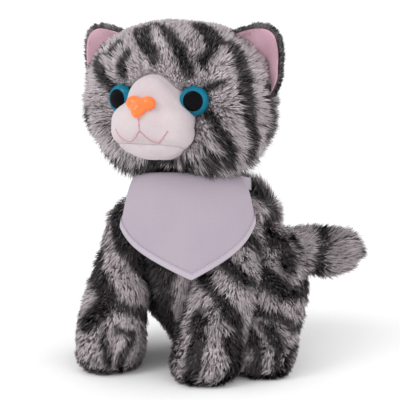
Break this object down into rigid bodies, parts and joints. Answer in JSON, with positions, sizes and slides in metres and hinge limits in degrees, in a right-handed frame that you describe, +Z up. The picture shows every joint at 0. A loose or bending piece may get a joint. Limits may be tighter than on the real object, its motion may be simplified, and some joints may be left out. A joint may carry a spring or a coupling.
{
  "type": "plush cat",
  "caption": "Stuffed tabby kitten sitting on padded legs, with a moving head, ears, legs and tail and a bandana tied round its neck.",
  "frame": {"origin": "on the ground, under the middle of the whole kitten from its muzzle to its tail", "axes": "+Z is up; the kitten faces -Y; +X is its left side"},
  "size_m": [0.1268, 0.1706, 0.1815],
  "materials": {
    "tabby_fur": "grey tabby plush, dark brushed stripes",
    "wadding": "white polyester wadding",
    "velour": "short pale velour",
    "ear_velour": "short pink velour",
    "nose_plastic": "orange, glossy",
    "iris_plastic": "teal blue, glossy",
    "pupil_plastic": "black, glossy",
    "washer_plastic": "white nylon",
    "thread": "dusty pink thread",
    "label_tape": "white woven satin tape, unprinted",
    "bag_cloth": "plain calico",
    "bandana_fabric": "pale lilac plain weave",
    "bandana_hem": "pale lilac turned hem",
    "closure_tape": "hook and loop tape"
  },
  "bodies": {
    "torso": {"torso_skin": "tabby_fur", "torso_stuffing": "wadding", "pellet_bag": "bag_cloth", "closing_seam": "thread", "care_label": "label_tape"},
    "neck": {"neck_stuffing": "wadding"},
    "head": {"head_skin": "tabby_fur", "head_stuffing": "wadding", "muzzle_patch": "velour", "chin_panel": "velour", "muzzle_stuffing": "wadding", "nose": "nose_plastic", "nose_washer": "washer_plastic", "mouth_thread": "thread", "eye_left_iris": "iris_plastic", "eye_left_pupil": "pupil_plastic", "eye_left_washer": "washer_plastic", "eye_right_iris": "iris_plastic", "eye_right_pupil": "pupil_plastic", "eye_right_washer": "washer_plastic"},
    "ear_left": {"ear_left_back": "tabby_fur", "ear_left_lining": "ear_velour"},
    "foreleg_left": {"foreleg_left_skin": "tabby_fur", "foreleg_left_stuffing": "wadding"},
    "hind_leg_left": {"hind_leg_left_skin": "tabby_fur", "hind_leg_left_stuffing": "wadding"},
    "ear_right": {"ear_right_back": "tabby_fur", "ear_right_lining": "ear_velour"},
    "foreleg_right": {"foreleg_right_skin": "tabby_fur", "foreleg_right_stuffing": "wadding"},
    "hind_leg_right": {"hind_leg_right_skin": "tabby_fur", "hind_leg_right_stuffing": "wadding"},
    "tail": {"tail_skin": "tabby_fur", "tail_stuffing": "wadding"},
    "bandana": {"bandana_cloth": "bandana_fabric", "bandana_hem": "bandana_hem", "closure_loop_pad": "closure_tape", "closure_hook_pad": "closure_tape"}
  },
  "joints": [
    {"name": "neck_turn", "type": "hinge", "parent": "torso", "child": "neck", "pos_m": [0, -0.0304, 0.108], "axis": [0, 0, 1], "range_deg": [-20, 20], "stiffness_Nm_per_rad": 0.3},
    {"name": "head_nod", "type": "hinge", "parent": "neck", "child": "head", "pos_m": [0, -0.0304, 0.108], "axis": [1, 0, 0], "range_deg": [-10, 10], "stiffness_Nm_per_rad": 1.2},
    {"name": "ear_left_fold", "type": "hinge", "parent": "head", "child": "ear_left", "pos_m": [0.0395, -0.0409, 0.158], "axis": [0.6032, 0.1311, -0.7868], "range_deg": [-20, 20], "stiffness_Nm_per_rad": 0.02},
    {"name": "ear_right_fold", "type": "hinge", "parent": "head", "child": "ear_right", "pos_m": [-0.0395, -0.0409, 0.158], "axis": [0.6032, -0.1311, 0.7868], "range_deg": [-20, 20], "stiffness_Nm_per_rad": 0.02},
    {"name": "foreleg_left_swing", "type": "hinge", "parent": "torso", "child": "foreleg_left", "pos_m": [0.03, -0.0344, 0.076], "axis": [1, 0, 0], "range_deg": [-6, 2], "stiffness_Nm_per_rad": 1.5},
    {"name": "foreleg_right_swing", "type": "hinge", "parent": "torso", "child": "foreleg_right", "pos_m": [-0.03, -0.0344, 0.076], "axis": [1, 0, 0], "range_deg": [-6, 2], "stiffness_Nm_per_rad": 1.5},
    {"name": "hind_leg_left_swing", "type": "hinge", "parent": "torso", "child": "hind_leg_left", "pos_m": [0.034, -0.0084, 0.046], "axis": [1, 0, 0], "range_deg": [-1, 10], "stiffness_Nm_per_rad": 1.5},
    {"name": "hind_leg_right_swing", "type": "hinge", "parent": "torso", "child": "hind_leg_right", "pos_m": [-0.034, -0.0084, 0.046], "axis": [1, 0, 0], "range_deg": [-1, 10], "stiffness_Nm_per_rad": 1.5},
    {"name": "tail_swing", "type": "hinge", "parent": "torso", "child": "tail", "pos_m": [0, 0.0236, 0.049], "axis": [0, 0, 1], "range_deg": [-20, 20], "stiffness_Nm_per_rad": 0.06},
    {"name": "bandana_turn", "type": "hinge", "parent": "torso", "child": "bandana", "pos_m": [0, -0.0234, 0.095], "axis": [0, 0, 1], "range_deg": [-4, 4]}
  ]
}
